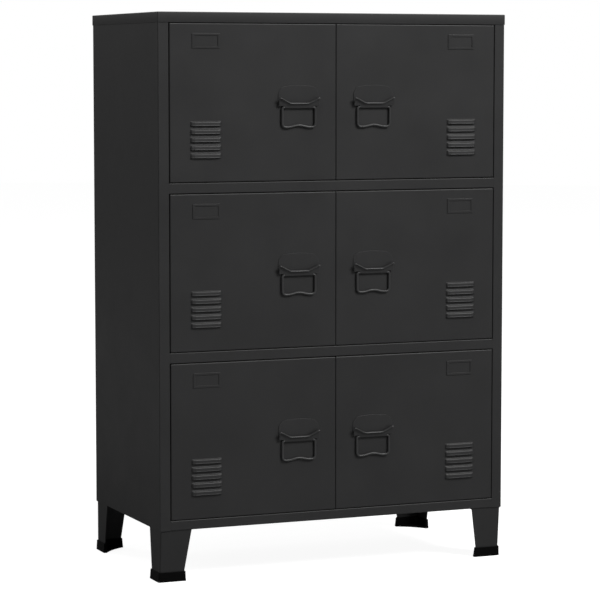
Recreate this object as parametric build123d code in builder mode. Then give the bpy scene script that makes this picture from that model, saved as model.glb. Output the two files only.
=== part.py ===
"""A six-door steel locker cabinet on four pressed legs, in millimetres.

The carcass is folded sheet: two side panels whose front edges turn in as stiles, a base, two
shelves, a rail under the cap, a back and a partition behind each pair of doors. Each door is a
shallow pan on two pivot pins, with louvres, a card holder and a handle whose wire bail swings in
a rolled fold. X runs to the right, Y to the back and Z up. The origin is at floor level, in the
middle of the box that holds the whole cabinet with its handles.
"""

from build123d import *
import os
from math import atan2, cos, sin, sqrt

os.makedirs("parts", exist_ok=True)

# The cabinet as a whole
HEIGHT = 1115.0
WIDTH = 750.0
DEPTH = 400.0
HANDLE_PROUD = 12.0  # how far a handle stands in front of its door

# Sheet and folds
SHEET = 0.8
BEND = 1.6  # outside radius of a fold
SLIP = 0.2  # play between parts that are fitted into each other

# The cap and the front frame
CAP_OVERHANG = 1.0
SKIRT = 20.5
OPENING_H = 310.4  # height of one row's opening
RAIL = 20.6  # height of the rail in front of a shelf
LEG_H = 103.0
STILE = 22.2
STILE_RETURN = 16.0
RAIL_RETURN = 17.0
REAR_FLANGE = 15.0

# Doors
GAP = 2.0  # open gap round a door
DOOR_DEPTH = 18.0
DOOR_LIP = 12.0  # width of the rim that turns in at the back of a door
HINGE_IN = 10.0  # hinge axis from the door's outer edge
HINGE_BACK = 5.0  # hinge axis behind the door's face
PIN_R = 2.0
PIN_LENGTH = 6.0  # from the door's edge to the pin's end
PIN_HEAD_R = 3.4
PIN_HEAD = 1.5

# Nylon bushes that the pins turn in
BUSH_BORE = PIN_R + 0.05
BUSH_R = 3.0
BUSH_FLANGE_R = 4.2
UPPER_BUSH_FLANGE = 1.0
LOWER_BUSH_FLANGE = 1.7
BUSH_TAIL = 3.0

# Magnetic catches
CATCH_W = 40.0
CATCH_T = 13.0
CATCH_IN = 22.0  # from the middle of the cabinet
CATCH_DROP = 10.0  # below the top of the opening
MAGNET_GAP = 0.3

# Partitions
STOP_HALF = 12.0  # the partition's front edge spreads this far to each side
STOP_GAP = 0.6  # behind a shut door

# Louvres, measured from the door's outer edge and from its top
LOUVRES = 5
LOUVRE_W = 64.0
LOUVRE_H = 10.5
LOUVRE_PITCH = 15.6
LOUVRE_PROUD = 4.0
LOUVRE_OUT = 41.5
LOUVRE_DOWN = 198.0  # to the open lower edge of the highest one

# Card holder
CARD_W = 58.0
CARD_H = 29.5
CARD_BAND = 4.4
CARD_PROUD = 1.9
CARD_SLOT = 0.8
CARD_OUT = 45.5
CARD_DOWN = 18.5

# Handle: a plate whose lower end is rolled up into a flap, and the wire bail in the roll
HANDLE_IN = 81.0  # middle of the handle from the middle of the cabinet
AXIS_DOWN = 162.8  # bail axis below the door's top
WIRE_R = 2.3
ROLL_R = WIRE_R + 0.08
PLATE_T = 1.0
PLATE_HALF = 43.0
PLATE_RISE = 43.3  # from the bail axis to the top of the plate
PLATE_CORNER = 17.0
FLAP_RISE = 20.0  # from the bail axis to the tips of the flap
FLAP_DIP = 7.3  # from the bail axis to the flap's edge in the middle
FLAP_FLAT_HALF = 19.0
ROLL_HALF = 30.8
EAR_FOOT = 2.9  # the flap's outer ends stop this far above the bail axis
BAIL_HALF = 35.2
BAIL_DROP = 40.6
BAIL_BUMP = 5.0
BAIL_TOP_BEND = 4.0
BAIL_FOOT_BEND = 7.0

# Legs and their plastic feet
LEG_SHEET = 2.0
LEG_INSET = 2.0
LEG_TOP = 64.5  # width of each arm where it meets the carcass
LEG_FRONT_FOOT = 48.0  # width of the front or rear arm at the floor
LEG_SIDE_FOOT = 43.0
LEG_LEAN = 8.6  # the front legs' front arm leans back by this much
LEG_BEND = 3.0
LEG_LIFT = 4.0  # the foot's sole is this thick under the leg
FLANGE_D = 44.0  # the leg's top flange
FOOT_H = 20.0
FOOT_WALL = 1.6
FOOT_FLARE = 3.0
FOOT_BEND = 4.0  # radius of the foot's outer corner
FOOT_WEB = 9.0  # and of its inner corner
SOLE_HOLLOW = 5.0  # how far the edge of the sole's web bows in between the arms' ends
BOLT_R = 3.0
BOLT_HEAD_R = 5.5
BOLT_HEAD = 3.2
BOLT_LENGTH = 10.0
BOLT_PLACES = ((16.0, 30.0), (48.0, 20.0))  # from the leg's outer faces

# Back panel
RIVET_R = 2.0
RIVET_HEAD_R = 3.6
RIVET_HEAD = 1.0
RIVETS = 6  # up each side
WALL_HOLE_R = 3.0
WALL_HOLE_SPACING = 500.0
WALL_HOLE_DOWN = 60.0

# Worked out from the above
CASE_W = WIDTH - 2 * CAP_OVERHANG
CASE_D = DEPTH - 2 * CAP_OVERHANG
FRONT = (HANDLE_PROUD - CASE_D - CAP_OVERHANG) / 2
BACK = FRONT + CASE_D
SIDE = CASE_W / 2
OPENING_HALF = SIDE - STILE
INSIDE_HALF = SIDE - SHEET - SLIP
RAIL_HALF = OPENING_HALF - SLIP
DOOR_H = OPENING_H - 2 * GAP
DOOR_EDGE = OPENING_HALF - GAP
CAP_UNDER = HEIGHT - SHEET
BACK_FACE = BACK - 2 * SHEET - SLIP
ROWS = ("upper", "middle", "lower")
SIDES = {"left": -1, "right": 1}
OPENING_TOP = [HEIGHT - SKIRT - row * (OPENING_H + RAIL) for row in range(len(ROWS))]
BASE_TOP = OPENING_TOP[-1] - OPENING_H
DECK_UNDER = [CAP_UNDER] + [top + RAIL - SHEET for top in OPENING_TOP[1:]]
HINGE_X = DOOR_EDGE - HINGE_IN
HINGE_Y = FRONT + HINGE_BACK
BAIL_Y = FRONT - PLATE_T - ROLL_R
LEG_REACH = SIDE - LEG_INSET


def finish(piece, name):
    """Labels a finished piece and writes its file."""
    piece.part.label = name
    export_step(piece.part, f"parts/{name}.step")


def block(low, high, mode=Mode.ADD):
    """A box between two opposite corners."""
    with Locations(tuple((a + b) / 2 for a, b in zip(low, high))):
        Box(*[b - a for a, b in zip(low, high)], mode=mode)


def bent_sheet(*points, thickness=SHEET, side=Side.RIGHT):
    """The section of a sheet folded along these points, which lie on its outer face."""
    with BuildLine() as outline:
        FilletPolyline(*points, radius=BEND)
        offset(amount=thickness, side=side)
    make_face(outline.edges())


def leg_section(width, depth, lean, sense, grow=0.0):
    """An angle section with its corner outwards: width and depth are those of its two arms.

    sense holds the signs of X and Y at the corner. lean is how far the corner stands further in
    from the carcass, in Y, and grow moves every face and end of the angle outwards.
    """
    sign_x, sign_y = sense
    corner_x = LEG_REACH
    corner_y = (FRONT if sign_y < 0 else BACK) - sign_y * (LEG_INSET + lean)
    inside = LEG_SHEET + grow
    corners = (
        (-grow, -grow),
        (width + grow, -grow),
        (width + grow, inside),
        (inside, inside),
        (inside, depth + grow),
        (-grow, depth + grow),
    )
    with BuildLine() as outline:
        Polyline(
            *[(sign_x * (corner_x - x), corner_y - sign_y * y) for x, y in corners],
            close=True,
        )
    make_face(outline.edges())


def sole_section(width, depth, lean, sense, grow):
    """The web under a foot: two straight outer edges, and a hollow one between the arms' ends."""
    sign_x, sign_y = sense
    corner_y = (FRONT if sign_y < 0 else BACK) - sign_y * (LEG_INSET + lean)
    inside = LEG_SHEET + grow
    bow = SOLE_HOLLOW / sqrt(2)
    middle = ((width + inside) / 2 - bow, (depth + inside) / 2 - bow)
    corners = ((inside, depth), (0, depth), (0, 0), (width, 0), (width, inside), middle)
    *straight, hollow = [
        (sign_x * (LEG_REACH - x), corner_y - sign_y * y) for x, y in corners
    ]
    with BuildLine() as outline:
        Polyline(*straight)
        ThreePointArc(straight[-1], hollow, straight[0])
    make_face(outline.edges())


# Cap: a flat sheet, bent down a little all round, with a skirt welded under its edge. It drops
# over the carcass.
CAP_SEAM = HEIGHT - BEND - SHEET  # where the sheet stops and the skirt starts
with BuildPart() as top_panel:
    block(
        (-WIDTH / 2, FRONT - CAP_OVERHANG, CAP_SEAM),
        (WIDTH / 2, BACK + CAP_OVERHANG, HEIGHT),
    )
    fillet(top_panel.edges().filter_by(Axis.Z), radius=BEND)
    fillet(top_panel.faces().sort_by(Axis.Z)[-1].edges(), radius=BEND)
    block(
        (-SIDE - SLIP, FRONT - SLIP, CAP_SEAM),
        (SIDE + SLIP, BACK + SLIP, CAP_UNDER),
        mode=Mode.SUBTRACT,
    )
finish(top_panel, "top_panel")

with BuildPart() as top_skirt:
    block(
        (-WIDTH / 2, FRONT - CAP_OVERHANG, HEIGHT - SKIRT),
        (WIDTH / 2, BACK + CAP_OVERHANG, CAP_SEAM),
    )
    fillet(top_skirt.edges().filter_by(Axis.Z), radius=BEND)
    block(
        (-SIDE - SLIP, FRONT - SLIP, HEIGHT - SKIRT),
        (SIDE + SLIP, BACK + SLIP, CAP_SEAM),
        mode=Mode.SUBTRACT,
    )
finish(top_skirt, "top_skirt")

# Rail under the cap: a channel between the stiles, open to the back
with BuildPart() as top_rail:
    with BuildSketch(Plane.YZ.offset(-RAIL_HALF)):
        bent_sheet(
            (FRONT + RAIL_RETURN, CAP_UNDER),
            (FRONT, CAP_UNDER),
            (FRONT, OPENING_TOP[0]),
            (FRONT + RAIL_RETURN, OPENING_TOP[0]),
            side=Side.LEFT,
        )
    extrude(amount=2 * RAIL_HALF)
    for sign in SIDES.values():
        with Locations((sign * HINGE_X, HINGE_Y, OPENING_TOP[0])):
            Cylinder(BUSH_R, 4 * SHEET, mode=Mode.SUBTRACT)
finish(top_rail, "top_rail")

# Where the rivets join the side panels' rear flanges to the back
RIVET_STEP = (CAP_UNDER - BASE_TOP) / RIVETS
RIVET_Z = [BASE_TOP + RIVET_STEP * (step + 0.5) for step in range(RIVETS)]
RIVET_X = SIDE - REAR_FLANGE / 2

# Side panels: the front edge turns in as the stile and again as its return
with BuildPart() as left_side_panel:
    with BuildSketch(Plane.XY.offset(LEG_H)):
        bent_sheet(
            (-OPENING_HALF, FRONT + STILE_RETURN),
            (-OPENING_HALF, FRONT),
            (-SIDE, FRONT),
            (-SIDE, BACK),
            (-SIDE + REAR_FLANGE, BACK),
        )
    extrude(amount=CAP_UNDER - LEG_H)
    # The return is cut away below the base, so that the base's lower flange can pass
    block(
        (-OPENING_HALF - BEND - SLIP, FRONT + SHEET, LEG_H),
        (-OPENING_HALF + SLIP, FRONT + STILE_RETURN, BASE_TOP),
        mode=Mode.SUBTRACT,
    )
    with BuildSketch(Plane.XZ.offset(-BACK)):
        with Locations([(-RIVET_X, z) for z in RIVET_Z]):
            Circle(RIVET_R)
    extrude(amount=2 * SHEET, mode=Mode.SUBTRACT)
finish(left_side_panel, "left_side_panel")

with BuildPart() as right_side_panel:
    mirror(left_side_panel.part, about=Plane.YZ)
finish(right_side_panel, "right_side_panel")

# Back: a flat sheet in front of the rear flanges, with two holes for wall screws
with BuildPart() as back_panel:
    block(
        (BEND + SLIP - SIDE, BACK - 2 * SHEET, LEG_H),
        (SIDE - BEND - SLIP, BACK - SHEET, CAP_UNDER - SLIP),
    )
    with BuildSketch(Plane.XZ.offset(-BACK)):
        for sign in SIDES.values():
            with Locations([(sign * RIVET_X, z) for z in RIVET_Z]):
                Circle(RIVET_R)
            with Locations((sign * WALL_HOLE_SPACING / 2, HEIGHT - WALL_HOLE_DOWN)):
                Circle(WALL_HOLE_R)
    extrude(amount=3 * SHEET, mode=Mode.SUBTRACT)
finish(back_panel, "back_panel")

with BuildPart() as back_panel_rivets:
    for sign in SIDES.values():
        for z in RIVET_Z:
            with BuildSketch(Plane.XZ.offset(-BACK + 2 * SHEET)):
                with Locations((sign * RIVET_X, z)):
                    Circle(RIVET_R)
            extrude(amount=-2 * SHEET)
            with BuildSketch(Plane.XZ.offset(-BACK)):
                with Locations((sign * RIVET_X, z)):
                    Circle(RIVET_HEAD_R)
            extrude(amount=-RIVET_HEAD, taper=20)
finish(back_panel_rivets, "back_panel_rivets")

# Where the legs are bolted up into the base's lower flanges
BOLT_XY = []
for sign_x in (-1, 1):
    for outer_face, sign_y in ((FRONT, 1), (BACK, -1)):
        for along_x, along_y in BOLT_PLACES:
            x = sign_x * (SIDE - LEG_INSET - along_x)
            BOLT_XY.append((x, outer_face + sign_y * (LEG_INSET + along_y)))

# Base: a deck with a face turned down front and back, and a wide flange under each
with BuildPart() as base_panel:
    with BuildSketch(Plane.YZ.offset(-RAIL_HALF)):
        bent_sheet(
            (BACK_FACE, BASE_TOP),
            (FRONT, BASE_TOP),
            (FRONT, LEG_H),
            (FRONT + FLANGE_D + LEG_INSET, LEG_H),
            side=Side.LEFT,
        )
    extrude(amount=2 * RAIL_HALF)
    for sign in SIDES.values():
        inner, outer = sorted((sign * RAIL_HALF, sign * INSIDE_HALF))
        block(
            (inner, FRONT + STILE_RETURN + SLIP, BASE_TOP - SHEET),
            (outer, BACK_FACE, BASE_TOP),
        )
        block(
            (inner, FRONT + BEND + SLIP, LEG_H),
            (outer, FRONT + FLANGE_D + LEG_INSET, LEG_H + SHEET),
        )
    block(
        (-INSIDE_HALF, BACK_FACE - SHEET, LEG_H),
        (INSIDE_HALF, BACK_FACE, BASE_TOP),
    )
    block(
        (-INSIDE_HALF, BACK - LEG_INSET - FLANGE_D, LEG_H),
        (INSIDE_HALF, BACK_FACE, LEG_H + SHEET),
    )
    with BuildSketch(Plane.XY.offset(LEG_H)):
        with Locations(BOLT_XY):
            Circle(BOLT_R)
    extrude(amount=SHEET, mode=Mode.SUBTRACT)
    for sign in SIDES.values():
        with Locations((sign * HINGE_X, HINGE_Y, BASE_TOP)):
            Cylinder(BUSH_R, 4 * SHEET, mode=Mode.SUBTRACT)
finish(base_panel, "base_panel")

# Shelves: a deck, the rail in front and a return under the rail; the rear edge turns down
for name, rail_under in zip(("upper_shelf", "lower_shelf"), OPENING_TOP[1:]):
    deck = rail_under + RAIL
    with BuildPart() as shelf:
        with BuildSketch(Plane.YZ.offset(-RAIL_HALF)):
            bent_sheet(
                (BACK_FACE, deck - RAIL_RETURN),
                (BACK_FACE, deck),
                (FRONT, deck),
                (FRONT, rail_under),
                (FRONT + RAIL_RETURN, rail_under),
                side=Side.LEFT,
            )
        extrude(amount=2 * RAIL_HALF)
        for sign in SIDES.values():
            inner, outer = sorted((sign * RAIL_HALF, sign * INSIDE_HALF))
            block(
                (inner, FRONT + STILE_RETURN + SLIP, deck - SHEET),
                (outer, BACK_FACE - BEND, deck),
            )
            for level in (deck, rail_under):
                with Locations((sign * HINGE_X, HINGE_Y, level)):
                    Cylinder(BUSH_R, 4 * SHEET, mode=Mode.SUBTRACT)
    finish(shelf, name)

# Partitions: a web whose front edge is hemmed out to both sides as a stop for the doors
for row, name in enumerate(ROWS):
    stop_front = FRONT + DOOR_DEPTH + STOP_GAP
    low = OPENING_TOP[row] - OPENING_H
    high = DECK_UNDER[row]
    with BuildPart() as partition:
        block(
            (-STOP_HALF, stop_front, low),
            (STOP_HALF, stop_front + 2 * SHEET, high),
        )
        block(
            (-SHEET / 2, stop_front + 2 * SHEET, low),
            (SHEET / 2, BACK_FACE - BEND, high),
        )
        # Room for the shelf's rear edge, which turns down above this compartment
        block(
            (-SHEET, BACK_FACE - BEND - SHEET - SLIP, high - RAIL_RETURN),
            (SHEET, BACK_FACE, high),
            mode=Mode.SUBTRACT,
        )
    finish(partition, f"{name}_partition")

# Nylon bushes, pressed into the frame above and below every door
with BuildPart() as hinge_bushes:
    for sign in SIDES.values():
        for top in OPENING_TOP:
            for edge, way, collar in (
                (top, 1, UPPER_BUSH_FLANGE),
                (top - OPENING_H, -1, LOWER_BUSH_FLANGE),
            ):
                tail = SHEET + BUSH_TAIL
                with Locations((sign * HINGE_X, HINGE_Y, edge + way * tail / 2)):
                    Cylinder(BUSH_R, tail)
                with Locations((sign * HINGE_X, HINGE_Y, edge - way * collar / 2)):
                    Cylinder(BUSH_FLANGE_R, collar)
                with Locations((sign * HINGE_X, HINGE_Y, edge)):
                    Cylinder(BUSH_BORE, 2 * tail + 1, mode=Mode.SUBTRACT)
finish(hinge_bushes, "hinge_bushes")

# Magnetic catches, hung behind the rails so that the magnet meets the door's upper rim
with BuildPart() as magnetic_catches:
    for row, top in enumerate(OPENING_TOP):
        for sign in SIDES.values():
            near, far = sorted((sign * CATCH_IN, sign * (CATCH_IN + CATCH_W)))
            face = FRONT + DOOR_DEPTH + MAGNET_GAP
            block((near, face + 1.0, top - CATCH_DROP), (far, face + CATCH_T, DECK_UNDER[row]))
            block((near + 5, face, top - CATCH_DROP + 1.5), (far - 5, face + 1.0, top - 2.5))
finish(magnetic_catches, "magnetic_catches")


def make_door(row, side):
    """One door with its card holder, handle plate, hinge pins and bail."""
    sign = SIDES[side]
    name = f"{ROWS[row]}_{side}"
    top = OPENING_TOP[row] - GAP
    foot = top - DOOR_H
    inner_x = sign * GAP / 2
    outer_x = sign * DOOR_EDGE
    low_x, high_x = sorted((inner_x, outer_x))
    rear = FRONT + DOOR_DEPTH

    # The pan, its rim, the pin holes and the louvres, each open along its lower edge
    louvre_low = [top - LOUVRE_DOWN - LOUVRE_PITCH * n for n in range(LOUVRES)]
    slope = atan2(LOUVRE_PROUD, LOUVRE_H)
    skin_z = SHEET / sin(slope)
    skin_y = SHEET / cos(slope)
    louvre_x = min(outer_x - sign * LOUVRE_OUT, outer_x - sign * (LOUVRE_OUT + LOUVRE_W))
    with BuildPart() as door:
        block((low_x, FRONT, foot), (high_x, rear, top))
        fillet(door.faces().sort_by(Axis.Y)[0].edges(), radius=BEND)
        block(
            (low_x + SHEET, FRONT + SHEET, foot + SHEET),
            (high_x - SHEET, rear - SHEET, top - SHEET),
            mode=Mode.SUBTRACT,
        )
        block(
            (low_x + DOOR_LIP, rear - 2 * SHEET, foot + DOOR_LIP),
            (high_x - DOOR_LIP, rear, top - DOOR_LIP),
            mode=Mode.SUBTRACT,
        )
        for edge in (top, foot):
            with Locations((sign * HINGE_X, HINGE_Y, edge)):
                Cylinder(PIN_R, 4 * SHEET, mode=Mode.SUBTRACT)
        with BuildSketch(Plane.YZ.offset(louvre_x)):
            for z in louvre_low:
                with BuildLine():
                    Polyline(
                        (FRONT + SHEET / 2, z + LOUVRE_H),
                        (FRONT, z + LOUVRE_H),
                        (FRONT - LOUVRE_PROUD, z),
                        (FRONT + SHEET / 2, z),
                        close=True,
                    )
                make_face()
        extrude(amount=LOUVRE_W)
        with BuildSketch(Plane.YZ.offset(louvre_x + SHEET)):
            for z in louvre_low:
                with BuildLine():
                    Polyline(
                        (FRONT + 2 * SHEET, z + LOUVRE_H - skin_z),
                        (FRONT, z + LOUVRE_H - skin_z),
                        (FRONT - LOUVRE_PROUD + skin_y, z),
                        (FRONT + 2 * SHEET, z),
                        close=True,
                    )
                make_face()
        extrude(amount=LOUVRE_W - 2 * SHEET, mode=Mode.SUBTRACT)
    finish(door, f"{name}_door")

    # Card holder: a raised frame, open towards the middle of the door so a card slides in
    card_out = outer_x - sign * CARD_OUT
    card_in = card_out - sign * CARD_W
    card_low, card_high = sorted((card_out, card_in))
    card_top = top - CARD_DOWN
    card_foot = card_top - CARD_H
    with BuildPart() as card_holder:
        block((card_low, FRONT - CARD_PROUD, card_foot), (card_high, FRONT, card_top))
        fillet(card_holder.edges().filter_by(Axis.Y), radius=1.5)
        block(
            (card_low + CARD_BAND, FRONT - CARD_PROUD, card_foot + CARD_BAND),
            (card_high - CARD_BAND, FRONT, card_top - CARD_BAND),
            mode=Mode.SUBTRACT,
        )
        slot_out = card_out - sign * CARD_BAND / 2
        slot_low, slot_high = sorted((slot_out, card_in - sign))
        block(
            (slot_low, FRONT - CARD_SLOT, card_foot + CARD_BAND / 2),
            (slot_high, FRONT, card_top - CARD_BAND / 2),
            mode=Mode.SUBTRACT,
        )
    finish(card_holder, f"{name}_card_holder")

    # Hinge pins: headed inside the door, one up and one down on the same axis
    with BuildPart() as hinge_pins:
        for edge, way in ((top, 1), (foot, -1)):
            inside = edge - way * SHEET
            shank = PIN_LENGTH + SHEET
            with Locations((sign * HINGE_X, HINGE_Y, inside + way * shank / 2)):
                Cylinder(PIN_R, shank)
            with Locations((sign * HINGE_X, HINGE_Y, inside - way * PIN_HEAD / 2)):
                Cylinder(PIN_HEAD_R, PIN_HEAD)
    finish(hinge_pins, f"{name}_hinge_pins")

    # Handle plate: flat on the door, rolled under the bail's axis and up again as a flap
    handle_x = sign * HANDLE_IN
    axis_z = top - AXIS_DOWN
    flap_tip = (FRONT - HANDLE_PROUD + PLATE_T, axis_z + FLAP_RISE)
    with BuildPart() as handle_plate:
        with BuildSketch(Plane.YZ.offset(handle_x - PLATE_HALF)):
            with BuildLine():
                Line((FRONT - PLATE_T, axis_z + PLATE_RISE), (FRONT - PLATE_T, axis_z))
                CenterArc((BAIL_Y, axis_z), ROLL_R, 0, -180)
                Line((BAIL_Y - ROLL_R, axis_z), flap_tip)
                offset(amount=PLATE_T, side=Side.LEFT)
            make_face()
        extrude(amount=2 * PLATE_HALF)
        # The plate's upper corners are round
        with BuildSketch(Plane.XZ.offset(-FRONT)):
            with Locations((handle_x, axis_z + PLATE_RISE)):
                Rectangle(2 * PLATE_HALF, 2 * PLATE_CORNER)
            with Locations((handle_x, axis_z + PLATE_RISE - PLATE_CORNER)):
                RectangleRounded(2 * PLATE_HALF, 2 * PLATE_CORNER, PLATE_CORNER - 0.1, mode=Mode.SUBTRACT)
                with Locations((0, -PLATE_CORNER / 2)):
                    Rectangle(2 * PLATE_HALF, PLATE_CORNER, mode=Mode.SUBTRACT)
        extrude(amount=PLATE_T + SLIP, mode=Mode.SUBTRACT)
        # The flap's edge dips in the middle
        with BuildSketch(Plane.XZ.offset(-FRONT + PLATE_T + ROLL_R)):
            with Locations((handle_x, 0)):
                with BuildLine():
                    Polyline(
                        (-PLATE_HALF, axis_z + FLAP_RISE + 2),
                        (-PLATE_HALF, axis_z + FLAP_RISE - 1),
                        (-FLAP_FLAT_HALF, axis_z + FLAP_DIP),
                        (FLAP_FLAT_HALF, axis_z + FLAP_DIP),
                        (PLATE_HALF, axis_z + FLAP_RISE - 1),
                        (PLATE_HALF, axis_z + FLAP_RISE + 2),
                        close=True,
                    )
                make_face()
        extrude(amount=HANDLE_PROUD, mode=Mode.SUBTRACT)
        # Beyond the roll the sheet stops above the bail's axis, where the bail's legs come out
        for way in (-1, 1):
            near, far = sorted((handle_x + way * ROLL_HALF, handle_x + way * (PLATE_HALF + 1)))
            block(
                (near, FRONT - HANDLE_PROUD, axis_z - 2 * ROLL_R),
                (far, FRONT, axis_z + EAR_FOOT),
                mode=Mode.SUBTRACT,
            )
    finish(handle_plate, f"{name}_handle_plate")

    # Bail: a closed loop of wire whose top bar turns in the roll; half of it, then its mirror
    with BuildPart() as bail:
        with BuildLine(Plane.XZ.offset(-BAIL_Y)) as half:
            FilletPolyline(
                (handle_x, axis_z),
                (handle_x + BAIL_HALF, axis_z),
                (handle_x + BAIL_HALF, axis_z - BAIL_DROP),
                (handle_x + BAIL_HALF / 2, axis_z - BAIL_DROP),
                (handle_x + BAIL_HALF / 8, axis_z - BAIL_DROP + BAIL_BUMP),
                (handle_x, axis_z - BAIL_DROP + BAIL_BUMP),
                radius=[BAIL_TOP_BEND, BAIL_FOOT_BEND, 10, 10],
            )
        with BuildSketch(Plane(half.line @ 0, z_dir=half.line % 0)):
            Circle(WIRE_R)
        sweep()
        mirror(about=Plane.YZ.offset(handle_x))
    finish(bail, f"{name}_bail")


for row in range(len(ROWS)):
    for side in SIDES:
        make_door(row, side)

# Legs: a tapered angle with a flange under the base, each with a plastic foot pushed on
with BuildPart() as leg_bolts:
    for x, y in BOLT_XY:
        with Locations((x, y, LEG_H - LEG_SHEET - BOLT_HEAD / 2)):
            Cylinder(BOLT_HEAD_R, BOLT_HEAD)
        with Locations((x, y, LEG_H - LEG_SHEET + BOLT_LENGTH / 2)):
            Cylinder(BOLT_R, BOLT_LENGTH)
finish(leg_bolts, "leg_bolts")

for end, sign_y, lean in (("front", -1, LEG_LEAN), ("rear", 1, 0.0)):
    for side, sign_x in SIDES.items():
        sense = (sign_x, sign_y)
        corner_x = sign_x * LEG_REACH
        corner_y = (FRONT if sign_y < 0 else BACK) - sign_y * LEG_INSET
        corner = (corner_x, corner_y, LEG_H / 2)
        with BuildPart() as leg:
            with BuildSketch(Plane.XY.offset(LEG_H)):
                leg_section(LEG_TOP, LEG_TOP, 0.0, sense)
            with BuildSketch(Plane.XY):
                leg_section(LEG_FRONT_FOOT, LEG_SIDE_FOOT, lean, sense)
            loft()
            fillet(leg.edges().sort_by_distance(corner)[0], radius=LEG_BEND)
            low_x, high_x = sorted((corner_x, corner_x - sign_x * LEG_TOP))
            low_y, high_y = sorted((corner_y, corner_y - sign_y * FLANGE_D))
            block((low_x, low_y, LEG_H - LEG_SHEET), (high_x, high_y, LEG_H))
            # The foot's sole is under the leg's end
            block((-WIDTH, -DEPTH, 0), (WIDTH, DEPTH, LEG_LIFT), mode=Mode.SUBTRACT)
            with BuildSketch(Plane.XY.offset(LEG_H)):
                with Locations(BOLT_XY):
                    Circle(BOLT_R)
            extrude(amount=-LEG_SHEET, mode=Mode.SUBTRACT)
        finish(leg, f"{end}_{side}_leg")

        rise = FOOT_H / LEG_H
        width = LEG_FRONT_FOOT + (LEG_TOP - LEG_FRONT_FOOT) * rise
        depth = LEG_SIDE_FOOT + (LEG_TOP - LEG_SIDE_FOOT) * rise
        corner = (corner_x, corner_y - sign_y * lean, FOOT_H / 2)
        with BuildPart() as foot:
            with BuildSketch(Plane.XY.offset(FOOT_H)):
                leg_section(width, depth, lean * (1 - rise), sense, grow=FOOT_WALL)
            with BuildSketch(Plane.XY):
                leg_section(LEG_FRONT_FOOT, LEG_SIDE_FOOT, lean, sense, grow=FOOT_FLARE)
            loft()
            upright = foot.edges().filter_by(lambda edge: edge.length < 1.5 * FOOT_H)
            upright = upright.filter_by(lambda edge: abs(edge.tangent_at(0.5).Z) > 0.9)
            upright = upright.sort_by_distance(corner)
            fillet(upright[0], radius=FOOT_BEND)
            fillet(upright[1], radius=FOOT_WEB)
            with BuildSketch(Plane.XY):
                sole_section(LEG_FRONT_FOOT, LEG_SIDE_FOOT, lean, sense, grow=FOOT_FLARE)
            extrude(amount=LEG_LIFT)
            add(leg.part, mode=Mode.SUBTRACT)
        finish(foot, f"{end}_{side}_foot")
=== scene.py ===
"""Six-door steel locker cabinet on tapered legs: its looks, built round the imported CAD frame.

The sections follow the cabinet as it is put together: the folded carcass, the cap, the rivets,
the legs and their feet, the fittings inside, then each door with its card holder, handle and
bail. Everything is in metres, X to the right, Y to the back and Z up.
"""

import math

import bpy
import numpy as np
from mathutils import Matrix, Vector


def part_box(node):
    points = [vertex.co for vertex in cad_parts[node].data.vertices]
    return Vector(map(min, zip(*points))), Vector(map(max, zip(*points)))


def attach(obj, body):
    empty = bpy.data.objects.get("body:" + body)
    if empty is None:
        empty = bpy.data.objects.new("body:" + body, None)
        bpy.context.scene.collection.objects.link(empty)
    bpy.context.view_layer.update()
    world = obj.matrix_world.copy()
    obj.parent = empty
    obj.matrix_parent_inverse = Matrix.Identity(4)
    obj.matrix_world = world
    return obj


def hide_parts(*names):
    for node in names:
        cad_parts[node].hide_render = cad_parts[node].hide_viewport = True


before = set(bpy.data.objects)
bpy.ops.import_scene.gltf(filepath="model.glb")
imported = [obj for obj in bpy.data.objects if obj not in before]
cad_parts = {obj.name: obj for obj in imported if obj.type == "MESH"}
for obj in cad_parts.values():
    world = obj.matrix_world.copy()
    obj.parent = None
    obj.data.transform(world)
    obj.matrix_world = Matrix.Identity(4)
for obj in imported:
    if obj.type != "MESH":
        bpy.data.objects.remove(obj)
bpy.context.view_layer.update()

# ----------------------------------------------------------------------
# Carcass: side panels, base, shelves, partitions, back and the rail under the cap. All of it is
# 0.8 mm cold-rolled sheet, folded, spot welded and powder coated as one, in anthracite black.
# The CAD shapes are right as they are, so they only get their finish.

ANTHRACITE = (0.0190, 0.0190, 0.0193)
# The lighter colour of the folds: partly a thinner coat there, partly painted highlight where the
# folds catch the light.
RUBBED_AND_HIGHLIT_COAT = (0.034, 0.0345, 0.0355)  # where the coat is thin over a fold
HOUSE_DUST = (0.20, 0.19, 0.175)
CARCASS_SHEETS = (
    "left_side_panel", "right_side_panel", "base_panel", "upper_shelf", "lower_shelf",
    "top_rail", "back_panel", "upper_partition", "middle_partition", "lower_partition",
)


def shader_group(name, inputs, outputs):
    """An empty node group with float inputs (name, default) and outputs (name, socket type)."""
    group = bpy.data.node_groups.new(name, "ShaderNodeTree")
    for label, default in inputs:
        socket = group.interface.new_socket(label, in_out="INPUT", socket_type="NodeSocketFloat")
        socket.default_value = default
    for label, kind in outputs:
        group.interface.new_socket(label, in_out="OUTPUT", socket_type=kind)
    return group, group.nodes.new("NodeGroupInput"), group.nodes.new("NodeGroupOutput")


def maths(tree, operation, first, second=None, clamp=False):
    """A Math node; each argument is a socket to link or a number to set."""
    node = tree.nodes.new("ShaderNodeMath")
    node.operation = operation
    node.use_clamp = clamp
    for socket, value in zip(node.inputs, (first, second)):
        if value is None:
            continue
        if isinstance(value, bpy.types.NodeSocket):
            tree.links.new(value, socket)
        else:
            socket.default_value = value
    return node.outputs[0]


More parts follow.
